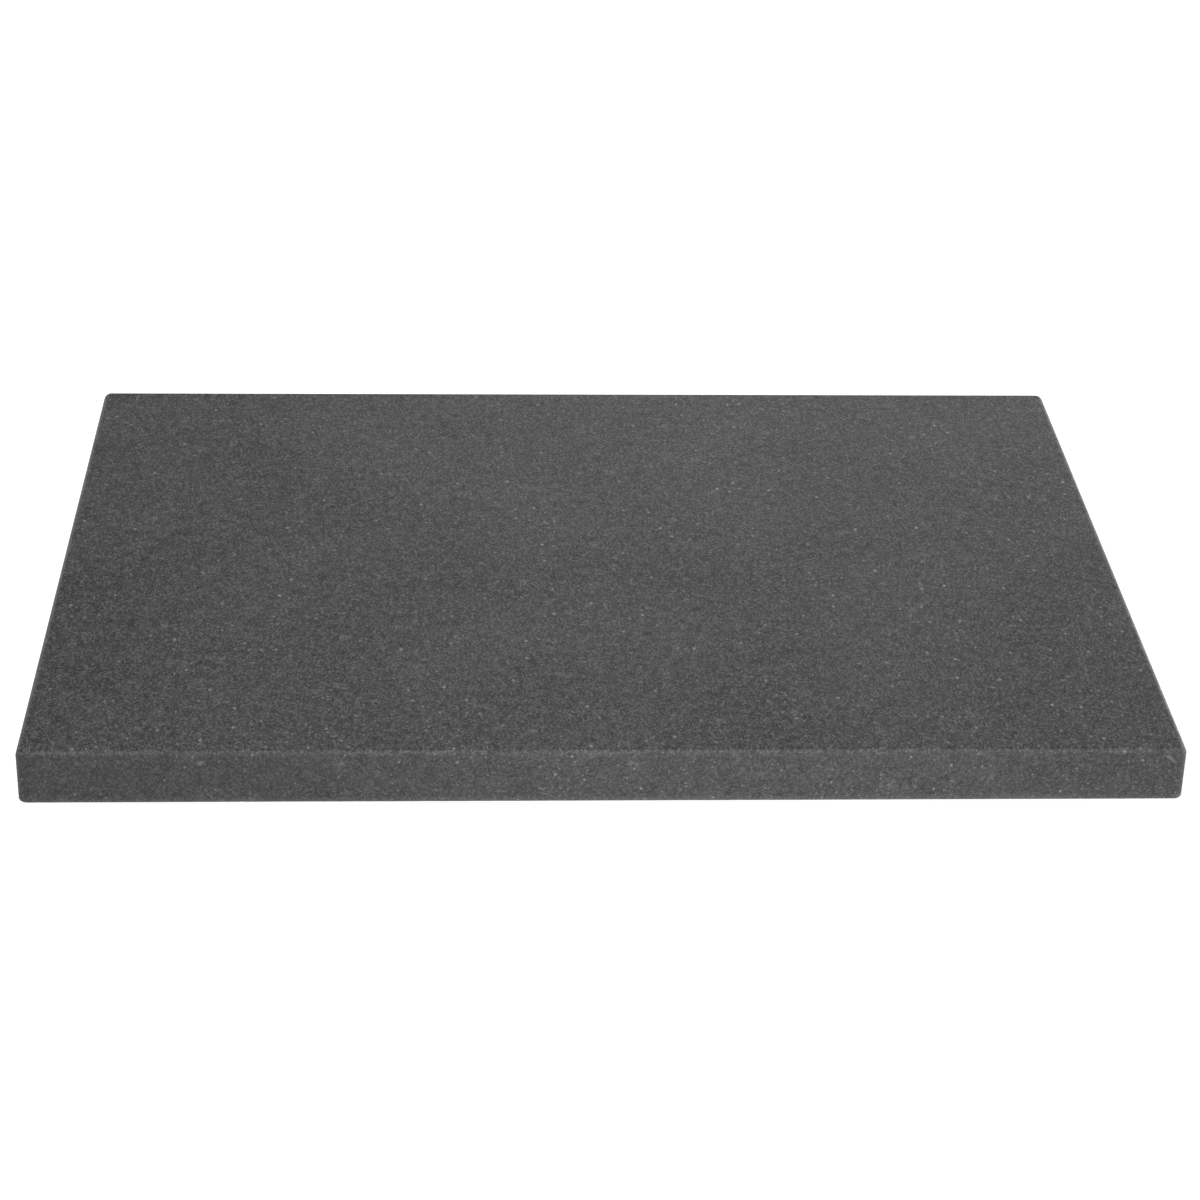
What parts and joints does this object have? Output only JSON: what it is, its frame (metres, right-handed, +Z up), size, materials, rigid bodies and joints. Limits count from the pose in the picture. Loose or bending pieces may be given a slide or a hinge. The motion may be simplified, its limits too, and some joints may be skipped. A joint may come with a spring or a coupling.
{
  "type": "granite slab",
  "caption": "Rectangular honed dark granite slab with eased edges on low rubber feet, a flat heavy surface for tooling, stamping and skiving leather.",
  "frame": {"origin": "middle of the footprint, on the surface that the feet stand on", "axes": "+X along the long sides of the stone, to the right of someone working at the front; +Y towards the back; +Z up, out of the working face"},
  "size_m": [0.4, 0.3, 0.0223],
  "materials": {
    "stone": "honed, matte, fine dark grain with sparse pale specks",
    "foot_rubber": "moulded, matte black",
    "adhesive": "translucent off-white double-sided tape"
  },
  "bodies": {
    "root": {"granite_slab": "stone", "foot_front_left": "foot_rubber", "foot_front_right": "foot_rubber", "foot_back_left": "foot_rubber", "foot_back_right": "foot_rubber", "adhesive_disc_front_left": "adhesive", "adhesive_disc_front_right": "adhesive", "adhesive_disc_back_left": "adhesive", "adhesive_disc_back_right": "adhesive"}
  },
  "joints": []
}
